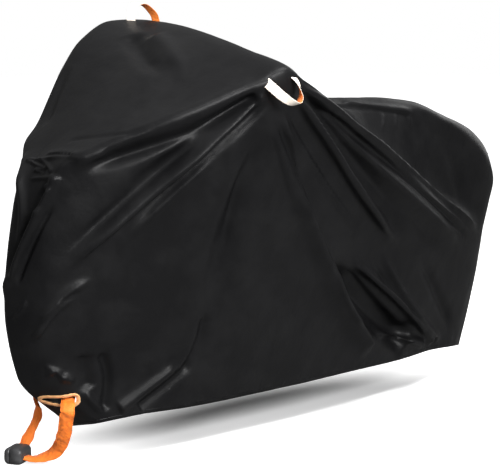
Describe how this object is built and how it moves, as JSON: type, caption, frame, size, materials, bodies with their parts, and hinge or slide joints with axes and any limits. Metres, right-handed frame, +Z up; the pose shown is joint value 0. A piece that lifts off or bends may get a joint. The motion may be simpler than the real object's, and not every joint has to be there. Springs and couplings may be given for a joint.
{
  "type": "bicycle cover",
  "caption": "Fitted outdoor cover of coated black cloth, hanging hollow as in use, with hanging loops and bound lock slots threaded by a sleeved locking strap.",
  "frame": {"origin": "hold under the cloth's top at the middle of the handle crest, 1.155 m above the floor it stands over", "axes": "+X towards the tail, +Y to the far side, +Z up; the drape leans about 13 degrees towards -Y, as shown"},
  "size_m": [2.0257, 0.7961, 1.2526],
  "materials": {
    "coated cloth": "satin coated weave",
    "loop webbing": "reflective face on orange webbing",
    "slot binding": "folded tape",
    "strap sleeve": "woven sleeve",
    "lock case": "soft moulded case"
  },
  "bodies": {
    "root": {"cover_body": "coated cloth", "near_loop": "loop webbing", "far_loop": "loop webbing", "near_slot_binding": "slot binding", "far_slot_binding": "slot binding", "lock_sleeve": "strap sleeve", "lock_case": "lock case"}
  },
  "joints": []
}
